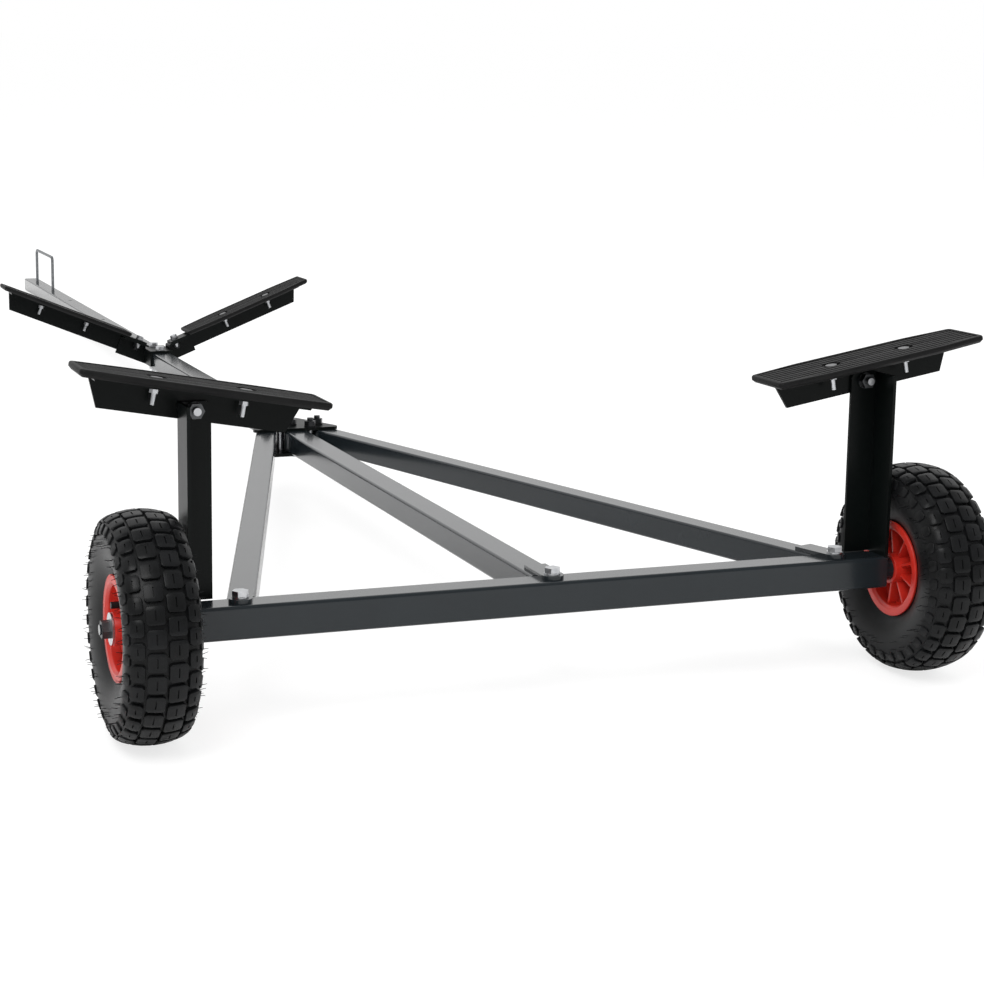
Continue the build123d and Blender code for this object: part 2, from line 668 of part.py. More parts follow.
# The trailer is kept as it parks: the drawbar's end rests on the floor with the wheels, and the
# origin lies on the floor under the middle of its outline
spine_low = spine_height - half
nose_down = degrees(asin(tyre_radius / hypot(drawbar_end, spine_low)) - atan(spine_low / drawbar_end))
pitch = Location((0, 0, 0), (-nose_down, 0, 0))
corners = [piece.moved(pitch).bounding_box() for piece in pieces.values()]
low = [min(tuple(box.min)[i] for box in corners) for i in range(3)]
high = [max(tuple(box.max)[i] for box in corners) for i in range(3)]
park = Location((-(low[0] + high[0]) / 2, -(low[1] + high[1]) / 2, -low[2])) * pitch
for name, piece in pieces.items():
    parked = piece.moved(park)
    parked.label = name
    export_step(parked, f"parts/{name}.step")
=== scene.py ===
import json
import logging
import random
from dataclasses import dataclass, field
from enum import Enum
from math import cos, pi, radians, sin
from typing import Any, Iterable, Optional, Union

import bmesh
import bpy
from mathutils import Matrix, Vector
from mathutils.geometry import interpolate_bezier


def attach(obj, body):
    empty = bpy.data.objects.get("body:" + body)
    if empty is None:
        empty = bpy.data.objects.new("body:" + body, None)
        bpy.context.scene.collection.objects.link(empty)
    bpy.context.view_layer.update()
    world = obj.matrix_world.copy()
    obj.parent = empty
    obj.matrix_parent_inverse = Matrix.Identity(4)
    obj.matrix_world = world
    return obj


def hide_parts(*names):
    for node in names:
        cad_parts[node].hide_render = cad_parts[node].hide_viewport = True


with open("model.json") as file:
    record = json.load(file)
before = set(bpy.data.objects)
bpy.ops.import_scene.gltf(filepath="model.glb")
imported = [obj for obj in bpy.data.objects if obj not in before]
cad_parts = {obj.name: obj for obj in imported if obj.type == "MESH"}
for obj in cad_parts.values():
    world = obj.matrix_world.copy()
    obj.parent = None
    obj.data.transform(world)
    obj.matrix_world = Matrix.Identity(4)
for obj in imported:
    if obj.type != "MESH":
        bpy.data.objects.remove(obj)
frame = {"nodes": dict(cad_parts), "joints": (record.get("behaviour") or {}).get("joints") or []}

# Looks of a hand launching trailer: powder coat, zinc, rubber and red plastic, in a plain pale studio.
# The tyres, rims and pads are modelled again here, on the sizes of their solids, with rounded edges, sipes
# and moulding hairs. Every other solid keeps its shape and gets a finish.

log = logging.getLogger("trailer")
Pair = tuple[float, float]
Triple = tuple[float, float, float]
Colour = Triple
Number = Union[float, "Term"]

MM = 0.001
# Points closer than this count as one point.
MERGE = 0.001 * MM
# A face whose normal has more than this along Z faces up, and one that has less than its negative faces down.
FACING = 0.9


class Side(Enum):
    """The trailer's two sides, with the sign of X on each."""

    LEFT = -1
    RIGHT = 1

    @property
    def word(self) -> str:
        """The word that ends the names of this side's pieces."""
        return self.name.lower()


class Term:
    """A socket's value in shader maths. Each operator adds the Math node that works it out."""

    def __init__(self, graph: "Graph", socket: bpy.types.NodeSocket) -> None:
        """Wrap a socket.

        Args:
            graph: the material's graph that new nodes join.
            socket: the output socket that holds the value.
        """
        self.graph = graph
        self.socket = socket

    def maths(self, operation: str, first: Number, second: Number) -> "Term":
        """Add one Math node.

        Args:
            operation: the node's operation.
            first: its first value.
            second: its second value.

        Returns:
            The node's result.
        """
        return self.graph.node("ShaderNodeMath", {"operation": operation}, {0: first, 1: second})

    def __add__(self, other: Number) -> "Term":
        """Add a value to this one."""
        return self.maths("ADD", self, other)

    __radd__ = __add__

    def __sub__(self, other: Number) -> "Term":
        """Take a value from this one."""
        return self.maths("SUBTRACT", self, other)

    def __rsub__(self, other: Number) -> "Term":
        """Take this value from another."""
        return self.maths("SUBTRACT", other, self)

    def __mul__(self, other: Number) -> "Term":
        """Multiply this value by another."""
        return self.maths("MULTIPLY", self, other)

    __rmul__ = __mul__

    def __pow__(self, other: Number) -> "Term":
        """Raise this value to a power."""
        return self.maths("POWER", self, other)


class Graph:
    """The node tree of a material or world, and the one way that nodes are added to it."""

    def __init__(self, owner: Union[bpy.types.Material, bpy.types.World]) -> None:
        """Start with the owner's own shader.

        Args:
            owner: the material or world.
        """
        owner.use_nodes = True
        self.owner = owner
        self.tree = owner.node_tree
        self.shader = self.tree.nodes.get("Principled BSDF") or self.tree.nodes["Background"]

    @classmethod
    def of_material(cls, name: str) -> "Graph":
        """Start a new material."""
        return cls(bpy.data.materials.new(name))

    def node(self, kind: str, settings: Optional[dict[str, Any]] = None,
             inputs: Optional[dict[Any, Any]] = None, output: Any = 0) -> Term:
        """Add a node, with its settings first and then its sockets' values or links.

        Args:
            kind: the node's type.
            settings: its properties.
            inputs: a value or a Term for each socket, by name or number.
            output: the name or number of the output to return.

        Returns:
            The chosen output.
        """
        made = self.tree.nodes.new(kind)
        for key, value in (settings or {}).items():
            setattr(made, key, value)
        for key, value in (inputs or {}).items():
            if isinstance(value, Term):
                self.tree.links.new(value.socket, made.inputs[key])
            else:
                made.inputs[key].default_value = value
        return Term(self, made.outputs[output])

    def place(self) -> Term:
        """The point on the piece, in the trailer's own frame, in metres."""
        return self.node("ShaderNodeTexCoord", output="Object")

    def within(self, axes: Matrix) -> list[Term]:
        """Give the point's coordinates along a sub-assembly's own axes.

        Args:
            axes: the place and directions of those axes in the trailer's frame.

        Returns:
            The distances along X, Y and Z, in metres.
        """
        point = self.node("ShaderNodeMapping", {"vector_type": "TEXTURE"},
                          {"Vector": self.place(), "Location": axes.to_translation(),
                           "Rotation": axes.to_euler()})
        return [self.node("ShaderNodeSeparateXYZ", {}, {0: point}, axis) for axis in "XYZ"]

    def noise(self, scale: float, detail: float = 3.0, roughness: float = 0.55) -> Term:
        """Add noise over the piece.

        Args:
            scale: the noise's scale, in cycles per metre.
            detail: its octaves.
            roughness: how strong the finer octaves are.

        Returns:
            The noise, from 0 to 1.
        """
        return self.node("ShaderNodeTexNoise", {}, {"Vector": self.place(), "Scale": scale, "Detail": detail,
                                                    "Roughness": roughness})

    def between(self, share: Number, low: Colour, high: Colour) -> Term:
        """Mix two colours.

        Args:
            share: how much of the second colour shows.
            low: the first colour.
            high: the second colour.

        Returns:
            The mixed colour.
        """
        return self.node("ShaderNodeMix", {"data_type": "RGBA"},
                         {0: share, 6: (*low, 1.0), 7: (*high, 1.0)}, 2)

    def ramp(self, value: Term, low: float, high: float) -> Term:
        """Stretch a value so that low becomes 0 and high becomes 1, and clamp it."""
        return self.node("ShaderNodeMapRange", {}, {0: value, 1: low, 2: high, 3: 0.0, 4: 1.0})

    def set(self, name: str, value: Any) -> None:
        """Set or link one of the shader's sockets.

        Args:
            name: the socket's name.
            value: a plain value, or a Term to link.
        """
        if isinstance(value, Term):
            self.tree.links.new(value.socket, self.shader.inputs[name])
        else:
            self.shader.inputs[name].default_value = value

    def bump(self, height: Term, distance: float, strength: float) -> None:
        """Drive the shader's normal by a height.

        Args:
            height: the height, from 0 to 1.
            distance: how far the full height stands up, in metres.
            strength: the share of it that shows.
        """
        self.set("Normal", self.node("ShaderNodeBump", {}, {"Height": height, "Distance": distance,
                                                            "Strength": strength}))


def scaled(colour: Colour, share: float) -> Colour:
    """Return a colour with each of its values multiplied."""
    return tuple(value * share for value in colour)


@dataclass(frozen=True)
class PowderCoat:
    """Oven-cured powder paint: a fine orange peel under a satin gloss, a little uneven in tone."""

    name: str
    colour: Colour
    tone: float = 0.12
    cloud_scale: float = 7.0
    cloud_ends: Pair = (0.3, 0.7)
    gloss: float = 0.20
    gloss_scale: float = 24.0
    gloss_spread: float = 0.07
    peel_gloss: float = 0.03
    glaze: float = 1.0
    glaze_gloss: float = 0.14
    index: float = 1.28
    peel_scale: float = 520.0
    peel_height: float = 0.12 * MM
    peel_shown: float = 0.35

    def build(self) -> bpy.types.Material:
        """Make the material.

        Returns:
            The material.
        """
        graph = Graph.of_material(self.name)
        cloud = graph.noise(self.cloud_scale, 4.0)
        uneven = graph.noise(self.gloss_scale, 3.0)
        peel = graph.noise(self.peel_scale, 2.0, 0.5)
        dark, light = scaled(self.colour, 1 - self.tone), scaled(self.colour, 1 + self.tone)
        graph.set("Base Color", graph.between(graph.ramp(cloud, *self.cloud_ends), dark, light))
        graph.set("Roughness", self.gloss + self.gloss_spread * uneven + self.peel_gloss * peel)
        graph.set("IOR", self.index)
        graph.set("Coat Weight", self.glaze)
        graph.set("Coat IOR", self.index)
        graph.set("Coat Roughness", self.glaze_gloss)
        graph.bump(peel, self.peel_height, self.peel_shown)
        return graph.owner


@dataclass(frozen=True)
class ZincPlate:
    """Bright zinc plating, with faint brushing and cloudy patches."""

    name: str = "bright zinc"
    colour: Colour = (0.66, 0.67, 0.68)
    shade: Colour = (0.50, 0.51, 0.53)
    cloud_scale: float = 160.0
    cloud_ends: Pair = (0.35, 0.7)
    gloss: float = 0.24
    gloss_spread: float = 0.14
    grain_scale: float = 2200.0
    grain_height: float = 0.03 * MM
    grain_shown: float = 0.4

    def build(self) -> bpy.types.Material:
        """Make the material.

        Returns:
            The material.
        """
        graph = Graph.of_material(self.name)
        cloud = graph.noise(self.cloud_scale, 4.0)
        grain = graph.noise(self.grain_scale, 2.0, 0.6)
        graph.set("Metallic", 1.0)
        graph.set("Base Color", graph.between(graph.ramp(cloud, *self.cloud_ends), self.shade, self.colour))
        graph.set("Roughness", self.gloss + self.gloss_spread * cloud)
        graph.bump(grain, self.grain_height, self.grain_shown)
        return graph.owner


@dataclass(frozen=True)
class ShadedZinc:
    """Zinc fasteners that are bright near a line or plane, and darker beyond it. On the pad bolt heads and on
    the cradle's arm nuts the darker part is painted shade.

    The axes that are counted say what the distance is measured from: one axis gives a plane, two give a line.
    """

    name: str
    counted: str
    bright_to: float
    edge: float = 0.3 * MM
    bright: Colour = (0.62, 0.63, 0.65)
    dark: Colour = (0.055, 0.057, 0.060)
    cloud_scale: float = 160.0
    gloss: float = 0.26
    gloss_spread: float = 0.14

    def build(self, axes: Matrix) -> bpy.types.Material:
        """Make the material.

        Args:
            axes: the sub-assembly's axes, along which the distance is measured.

        Returns:
            The material.
        """
        graph = Graph.of_material(self.name)
        spread: Number = 0.0
        for along, axis in zip(graph.within(axes), "XYZ"):
            if axis in self.counted:
                spread = along * along + spread
        share = graph.ramp(spread ** 0.5, self.bright_to, self.bright_to + self.edge)
        graph.set("Metallic", 1.0)
        graph.set("Base Color", graph.between(share, self.bright, self.dark))
        graph.set("Roughness", self.gloss + self.gloss_spread * graph.noise(self.cloud_scale, 4.0))
        return graph.owner


@dataclass(frozen=True)
class DarkSteel:
    """Oiled black steel of the wheel nuts."""

    name: str = "black steel"
    colour: Colour = (0.045, 0.046, 0.048)
    worn: float = 1.7
    metal: float = 0.7
    cloud_scale: float = 220.0
    gloss: float = 0.34
    gloss_spread: float = 0.12

    def build(self) -> bpy.types.Material:
        """Make the material.

        Returns:
            The material.
        """
        graph = Graph.of_material(self.name)
        cloud = graph.noise(self.cloud_scale, 3.0)
        graph.set("Metallic", self.metal)
        graph.set("Base Color", graph.between(cloud, self.colour, scaled(self.colour, self.worn)))
        graph.set("Roughness", self.gloss + self.gloss_spread * cloud)
        return graph.owner


@dataclass(frozen=True)
class Rubber:
    """Black rubber: a fine grain, with tone and gloss that vary over the surface."""

    name: str
    colour: Colour
    worn: Colour
    gloss: float
    cloud_scale: float = 28.0
    cloud_ends: Pair = (0.35, 0.75)
    gloss_spread: float = 0.10
    grain_gloss: float = 0.05
    index: float = 1.27
    grain_scale: float = 1400.0
    grain_height: float = 0.08 * MM
    grain_shown: float = 0.5

    def build(self) -> bpy.types.Material:
        """Make the material.

        Returns:
            The material.
        """
        graph = Graph.of_material(self.name)
        cloud = graph.noise(self.cloud_scale, 5.0, 0.6)
        grain = graph.noise(self.grain_scale, 3.0, 0.6)
        graph.set("Base Color", graph.between(graph.ramp(cloud, *self.cloud_ends), self.colour, self.worn))
        graph.set("Roughness", self.gloss + self.gloss_spread * cloud + self.grain_gloss * grain)
        graph.set("IOR", self.index)
        graph.bump(grain, self.grain_height, self.grain_shown)
        return graph.owner


@dataclass(frozen=True)
class RimPlastic:
    """Red moulded plastic of the wheel rims, semi-gloss with soft flow marks."""

    name: str = "red rim plastic"
    colour: Colour = (0.62, 0.030, 0.016)
    deep: Colour = (0.45, 0.016, 0.010)
    cloud_scale: float = 20.0
    cloud_ends: Pair = (0.3, 0.7)
    gloss: float = 0.30
    gloss_spread: float = 0.08
    grain_scale: float = 900.0
    grain_height: float = 0.05 * MM
    grain_shown: float = 0.4

    def build(self) -> bpy.types.Material:
        """Make the material.

        Returns:
            The material.
        """
        graph = Graph.of_material(self.name)
        cloud = graph.noise(self.cloud_scale, 3.0)
        grain = graph.noise(self.grain_scale, 2.0)
        graph.set("Base Color", graph.between(graph.ramp(cloud, *self.cloud_ends), self.deep, self.colour))
        graph.set("Roughness", self.gloss + self.gloss_spread * cloud)
        graph.bump(grain, self.grain_height, self.grain_shown)
        return graph.owner


@dataclass(frozen=True)
class PaleFloor:
    """A plain pale floor that shows white to the camera and still takes the trailer's shadow."""

    name: str = "pale floor"
    colour: Colour = (0.90, 0.90, 0.90)
    speck: float = 0.985
    speck_scale: float = 40.0
    roughness: float = 0.9
    lift: float = 0.62
    glow: float = 1.2

    def build(self) -> bpy.types.Material:
        """Make the material.

        Returns:
            The material.
        """
        graph = Graph.of_material(self.name)
        speck = graph.noise(self.speck_scale, 2.0)
        graph.set("Base Color", graph.between(speck, scaled(self.colour, self.speck), self.colour))
        graph.set("Roughness", self.roughness)
        graph.set("Specular IOR Level", 0.0)
        seen = graph.node("ShaderNodeLightPath", output="Is Camera Ray")
        glow = graph.node("ShaderNodeEmission", {}, {"Color": (1.0, 1.0, 1.0, 1.0), "Strength": self.glow})
        painted = Term(graph, graph.shader.outputs[0])
        mixed = graph.node("ShaderNodeMixShader", {}, {0: seen * self.lift, 1: painted, 2: glow})
        graph.tree.links.new(mixed.socket, graph.tree.nodes["Material Output"].inputs["Surface"])
        return graph.owner


class Finishes:
    """Every finish of the trailer, each made once."""

    def __init__(self, chassis: "Chassis") -> None:
        """Make the materials.

        Args:
            chassis: the trailer's level axes.
        """
        self.grey_coat = PowderCoat("grey powder coat", (0.013, 0.017, 0.020)).build()
        # A darker copy of the powder coat. On the posts and hub plates it is painted shade: those parts are
        # grey like the beam and look dark only in shade.
        self.black_coat = PowderCoat("black powder coat", (0.0030, 0.0042, 0.0040), gloss=0.26, glaze=0.0,
                                     index=1.22).build()
        self.zinc = ZincPlate().build()
        self.bare_rod = ZincPlate("dull zinc rod", colour=(0.30, 0.31, 0.32), shade=(0.20, 0.21, 0.22),
                                  gloss=0.36).build()
        self.nut_steel = DarkSteel().build()
        self.hub_zinc = ShadedZinc("hub zinc", "Z", 24.0 * MM).build(chassis.level)
        # The cradle's bolts are bright within 45 mm of the middle and painted dark beyond: painted shade on
        # the nuts on the bracket's arms.
        self.bow_zinc_painted_shade = ShadedZinc("cradle zinc", "X", 45.0 * MM).build(chassis.level)
        self.pad = Rubber("ribbed pad rubber", (0.0040, 0.0040, 0.0043), (0.0080, 0.0080, 0.0080),
                          gloss=0.46).build()
        self.tyre = Rubber("tyre rubber", (0.0045, 0.0048, 0.0050), (0.0095, 0.0100, 0.0110),
                           gloss=0.30).build()
        self.valve = Rubber("valve rubber", (0.006, 0.006, 0.006), (0.010, 0.010, 0.010), gloss=0.38).build()
        self.rim = RimPlastic().build()


@dataclass
class Chassis:
    """The trailer's own level axes: X across, Y along the spine, Z up, from mid beam on the axle line."""

    level: Matrix = field(default_factory=Matrix)

    @classmethod
    def from_frame(cls) -> "Chassis":
        """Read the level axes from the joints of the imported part.

        Returns:
            The chassis, with the matrix from its level axes to the parked row frame.
        """
        joints = {joint["name"]: joint for joint in frame["joints"]}
        axle = Vector(joints["wheel_right_spin"]["pos_m"])
        forward = Vector(joints["bunk_left_tilt"]["axis"]).normalized()
        across = Vector((1, 0, 0))
        up = across.cross(forward)
        turned = Matrix((across, forward, up)).transposed().to_4x4()
        origin = Vector((0, axle.y, axle.z))
        return cls(Matrix.Translation(origin) @ turned)

    def at(self, x: float, y: float, z: float) -> Matrix:
        """Return the matrix that carries a piece from its own origin to a level point."""
        return self.level @ Matrix.Translation((x, y, z))


def box(size: Triple, middle: Triple) -> bmesh.types.BMesh:
    """Make a box.

    Args:
        size: its lengths along X, Y and Z.
        middle: where its middle is.

    Returns:
        The box.
    """
    mesh = bmesh.new()
    bmesh.ops.create_cube(mesh, size=1.0)
    bmesh.ops.scale(mesh, vec=size, verts=mesh.verts)
    bmesh.ops.translate(mesh, vec=middle, verts=mesh.verts)
    return mesh


def spun(section: list[Pair], steps: int) -> bmesh.types.BMesh:
    """Spin a closed section about the X axis.

    Args:
        section: its corners in order, as X and radius.
        steps: how many times it is repeated round the turn.

    Returns:
        The ring.
    """
    mesh = bmesh.new()
    verts = [mesh.verts.new((x, radius, 0)) for x, radius in section]
    edges = [mesh.edges.new(ends) for ends in zip(verts, verts[1:] + verts[:1])]
    bmesh.ops.spin(mesh, geom=verts + edges, cent=(0, 0, 0), axis=(1, 0, 0), angle=2 * pi, steps=steps,
                   use_merge=True)
    bmesh.ops.remove_doubles(mesh, verts=mesh.verts, dist=MERGE)
    bmesh.ops.recalc_face_normals(mesh, faces=mesh.faces)
    return mesh


def upright_edges(mesh: bmesh.types.BMesh, height: float) -> list[bmesh.types.BMEdge]:
    """Return the edges that climb more than half of a height."""
    return [e for e in mesh.edges if abs(e.verts[0].co.z - e.verts[1].co.z) > height / 2]


def grown_verts(extruded: dict[str, Any]) -> list[bmesh.types.BMVert]:
    """Return the new vertices of an extrusion."""
    return [part for part in extruded["geom"] if isinstance(part, bmesh.types.BMVert)]


def bevelled(mesh: bmesh.types.BMesh, edges: list[bmesh.types.BMEdge], offset: float, segments: int) -> None:
    """Round edges, or chamfer them with one segment.

    Args:
        mesh: the shape.
        edges: its edges to work on.
        offset: how far back from each edge the rounding starts.
        segments: how many faces it has across.
    """
    bmesh.ops.bevel(mesh, geom=edges, offset=offset, segments=segments, profile=0.5, affect="EDGES",
                    material=-1)


def prism(corners: list[Pair], low: float, high: float, rounding: float) -> bmesh.types.BMesh:
    """Make an upright prism on an outline.

    Args:
        corners: the outline, in order.
        low: the height of its base.
        high: the height of its top.
        rounding: how far its upright edges are rounded.

    Returns:
        The prism.
    """
    mesh = bmesh.new()
    base = mesh.faces.new([mesh.verts.new((x, y, low)) for x, y in corners])
    grown = bmesh.ops.extrude_face_region(mesh, geom=[base])
    bmesh.ops.translate(mesh, vec=(0, 0, high - low), verts=grown_verts(grown))
    if rounding > 0:
        bevelled(mesh, upright_edges(mesh, high - low), rounding, 5)
    bmesh.ops.recalc_face_normals(mesh, faces=mesh.faces)
    return mesh


def join_into(mesh: bmesh.types.BMesh, other: bmesh.types.BMesh, matrix: Matrix) -> None:
    """Copy another shape into a bmesh at a place.

    Args:
        mesh: the shape that grows.
        other: the shape that is copied, and kept.
        matrix: where the copy goes.
    """
    data = bpy.data.meshes.new("copy")
    other.to_mesh(data)
    data.transform(matrix)
    if matrix.determinant() < 0:
        data.flip_normals()
    mesh.from_mesh(data)
    bpy.data.meshes.remove(data)


def take_in(mesh: bmesh.types.BMesh, other: bmesh.types.BMesh) -> None:
    """Move another shape into a bmesh, where it is."""
    join_into(mesh, other, Matrix.Identity(4))
    other.free()


def finished(name: str, mesh: bmesh.types.BMesh, matrix: Matrix, material: bpy.types.Material,
             smooth: float = 35.0) -> bpy.types.Object:
    """Turn a bmesh into a piece whose place is in its mesh.

    Args:
        name: the piece's name.
        mesh: the shape, which is freed.
        matrix: where it goes in the row frame.
        material: its finish.
        smooth: the angle in degrees below which faces are shaded as one.

    Returns:
        The new object.
    """
    bmesh.ops.transform(mesh, matrix=matrix, verts=mesh.verts)
    if matrix.determinant() < 0:
        bmesh.ops.reverse_faces(mesh, faces=mesh.faces)
    for face in mesh.faces:
        face.smooth = True
    for edge in mesh.edges:
        edge.smooth = len(edge.link_faces) == 2 and edge.calc_face_angle(0.0) < radians(smooth)
    data = bpy.data.meshes.new(name)
    mesh.to_mesh(data)
    mesh.free()
    data.materials.append(material)
    piece = bpy.data.objects.new(name, data)
    bpy.context.scene.collection.objects.link(piece)
    log.info("%s: %d faces", name, len(data.polygons))
    return piece


def apply_modifiers(piece: bpy.types.Object) -> None:
    """Bake a piece's modifiers into its mesh and drop them.

    Args:
        piece: the object.
    """
    bpy.context.view_layer.update()
    graph = bpy.context.evaluated_depsgraph_get()
    data = bpy.data.meshes.new_from_object(piece.evaluated_get(graph))
    piece.modifiers.clear()
    piece.data = data


@dataclass(frozen=True)
class LugRow:
    """A row of equal tread blocks: its place across the tyre, its stagger in pitches and a block's sizes."""

    across: float
    stagger: float
    width: float
    length: float
    height: float
    sipe: float


@dataclass
class Tyre:
    """A pneumatic tyre: a carcass with middle, shoulder and sidewall rows of blocks, and moulding hairs."""

    radius: float = 133.5 * MM
    width: float = 85.0 * MM
    carcass_drop: float = 5.0 * MM
    bead_radius: float = 52.0 * MM
    bead_half: float = 30.0 * MM
    lip_radius: float = 62.0 * MM
    lip_handle: Pair = (38.1 * MM, 74.5 * MM)
    wall_radius: float = 104.0 * MM
    wall_handles: Pair = (89.1 * MM, 111.2 * MM)
    shoulder: Pair = (33.0 * MM, 122.0 * MM)
    shoulder_handles: tuple[Pair, Pair] = ((38.9 * MM, 117.9 * MM), (22.6 * MM, 126.3 * MM))
    crown_handle: float = 11.3 * MM
    bend_points: int = 9
    spin_steps: int = 128
    pitches: int = 32
    rows: tuple[LugRow, ...] = (
        LugRow(11.4 * MM, 0.25, width=20.2 * MM, length=21.4 * MM, height=5.0 * MM, sipe=11.0 * MM),
        LugRow(31.2 * MM, -0.25, width=14.6 * MM, length=20.0 * MM, height=4.9 * MM, sipe=7.0 * MM),
        LugRow(46.6 * MM, 0.25, width=11.6 * MM, length=15.0 * MM, height=2.6 * MM, sipe=0.0),
    )
    root: float = 0.6 * MM
    chamfer: float = 2.6 * MM
    soft_edge: float = 0.7 * MM
    slit_half: float = 0.7 * MM
    slit_depth: float = 1.8 * MM
    hair_seed: int = 7
    hair_count: int = 88
    hair_root: float = 0.48 * MM
    hair_tip: float = 0.26 * MM
    hair_length: float = 8.0 * MM
    hair_middle: float = 3.5 * MM
    hair_bands_mm: tuple[Pair, Pair] = ((50.0, 56.0), (58.0, 66.0))
    hair_wander: float = 0.3
    hair_rise: float = 0.6
    hair_sweep: float = 0.4

    def outline(self) -> list[Vector]:
        """Return half the carcass section from the bead to the crown, X across and Y outward.

        Returns:
            The points of the section's outer side.
        """
        half = self.width / 2
        crown = self.radius - self.carcass_drop
        below, above = self.wall_handles
        under, over = self.shoulder_handles
        lip, wall = (self.bead_half, self.lip_radius), (half, self.wall_radius)
        bends = ((lip, self.lip_handle, (half, below), wall),
                 (wall, (half, above), under, self.shoulder),
                 (self.shoulder, over, (self.crown_handle, crown), (0.0, crown)))
        points: list[Vector] = []
        for bend in bends:
            curve = interpolate_bezier(*[Vector((x, y, 0)) for x, y in bend], self.bend_points)
            points += curve[0 if not points else 1:]
        return points

    def section(self) -> list[Pair]:
        """Return the closed carcass section, with its beads on the rim.

        Returns:
            The points in order round the section, as X and radius.
        """
        outer = [(point.x, point.y) for point in self.outline()]
        left = [(-x, radius) for x, radius in reversed(outer[:-1])]
        return outer + left + [(-self.bead_half, self.bead_radius), (self.bead_half, self.bead_radius)]

    def crown_point(self, across: float, height: float) -> tuple[Vector, Vector]:
        """Find a point over the tread.

        Args:
            across: the distance from the tyre's middle, along the carcass.
            height: how far the point stands off the carcass.

        Returns:
            The point as X and radius, and the outward direction there.
        """
        points = list(reversed(self.outline()))
        left = abs(across)
        sign = 1.0 if across >= 0 else -1.0
        for first, second in zip(points, points[1:]):
            step = (second - first).length
            if left <= step:
                break
            left -= step
        along = (second - first).normalized()
        outward = Vector((-along.y, along.x, 0))
        spot = first + along * left + outward * height
        return Vector((sign * spot.x, spot.y, 0)), Vector((sign * outward.x, outward.y, 0))

    def block(self, row: LugRow) -> bmesh.types.BMesh:
        """Make one flat tread block with chamfered corners and a sipe.

        Args:
            row: the row that gives its sizes.

        Returns:
            The block, X across, Y round and Z up, with its root below zero.
        """
        mesh = box((row.width, row.length, row.height), (0, 0, row.height / 2 - self.root))
        bevelled(mesh, upright_edges(mesh, row.height), self.chamfer, 1)
        if row.sipe > 0:
            self.slit(mesh, row.sipe / 2)
        bevelled(mesh, self.top_edges(mesh, row), self.soft_edge, 2)
        foot = [face for face in mesh.faces if face.normal.z < -FACING]
        bmesh.ops.delete(mesh, geom=foot, context="FACES_ONLY")
        return mesh

    def slit(self, mesh: bmesh.types.BMesh, half: float) -> None:
        """Sink a slit round the tyre into a block's top.

        Args:
            mesh: the block.
            half: half the slit's length.
        """
        cuts = [((x, 0, 0), (1, 0, 0)) for x in (-self.slit_half, self.slit_half)]
        cuts += [((0, y, 0), (0, 1, 0)) for y in (-half, half)]
        for point, normal in cuts:
            bmesh.ops.bisect_plane(mesh, geom=mesh.verts[:] + mesh.edges[:] + mesh.faces[:],
                                   plane_co=point, plane_no=normal)
        top = [face for face in mesh.faces if face.normal.z > FACING
               and abs(face.calc_center_median().x) < self.slit_half
               and abs(face.calc_center_median().y) < half]
        sunk = bmesh.ops.extrude_face_region(mesh, geom=top)
        bmesh.ops.delete(mesh, geom=top, context="FACES_ONLY")
        bmesh.ops.translate(mesh, vec=(0, 0, -self.slit_depth), verts=grown_verts(sunk))

    def top_edges(self, mesh: bmesh.types.BMesh, row: LugRow) -> list[bmesh.types.BMEdge]:
        """Find the edges round a block's top, without those of its sipe.

        Args:
            mesh: the block.
            row: the row that gives its sizes.

        Returns:
            The edges.
        """
        edges = []
        for edge in mesh.edges:
            high = all(v.co.z > row.height / 2 for v in edge.verts)
            border = sorted(face.normal.z > FACING for face in edge.link_faces) == [False, True]
            off_sipe = all(abs(v.co.x) > 2 * self.slit_half or abs(v.co.y) > row.sipe / 2 + self.slit_half
                           for v in edge.verts)
            if high and border and off_sipe:
                edges.append(edge)
        return edges

    def wrap(self, flat: bmesh.types.BMesh, across: float, turn: float, into: bmesh.types.BMesh) -> None:
        """Lay a copy of a flat block on the tread.

        Args:
            flat: the block.
            across: where its middle goes across the tread.
            turn: where its middle goes round the tyre, in radians.
            into: the shape that it joins.
        """
        data = bpy.data.meshes.new("block")
        flat.to_mesh(data)
        for vertex in data.vertices:
            point, _ = self.crown_point(across + vertex.co.x, vertex.co.z)
            angle = turn + vertex.co.y / self.radius
            vertex.co = (point.x, point.y * cos(angle), point.y * sin(angle))
        into.from_mesh(data)
        bpy.data.meshes.remove(data)

    def hairs(self, mesh: bmesh.types.BMesh) -> None:
        """Add the fine rubber hairs that the mould's vents leave on the shoulders.

        Args:
            mesh: the tyre, which they join.
        """
        draw = random.Random(self.hair_seed)
        hair = bmesh.new()
        bmesh.ops.create_cone(hair, cap_ends=True, segments=5, radius1=self.hair_root, radius2=self.hair_tip,
                              depth=self.hair_length)
        bmesh.ops.translate(hair, vec=(0, 0, self.hair_middle), verts=hair.verts)
        for sign in (-1, 1):
            for k in range(self.hair_count):
                turn = 2 * pi * (k + draw.uniform(-self.hair_wander, self.hair_wander)) / self.hair_count
                across = draw.choice([draw.uniform(*band) for band in self.hair_bands_mm]) * MM
                spot, outward = self.crown_point(sign * across, 0.0)
                lean = Vector((sign, outward.y * draw.uniform(0.0, self.hair_rise),
                               draw.uniform(-self.hair_sweep, self.hair_sweep)))
                aim = lean.to_track_quat("Z", "Y").to_matrix().to_4x4()
                around = Matrix.Rotation(turn, 4, "X")
                join_into(mesh, hair, around @ Matrix.Translation((spot.x, spot.y, 0)) @ aim)
        hair.free()

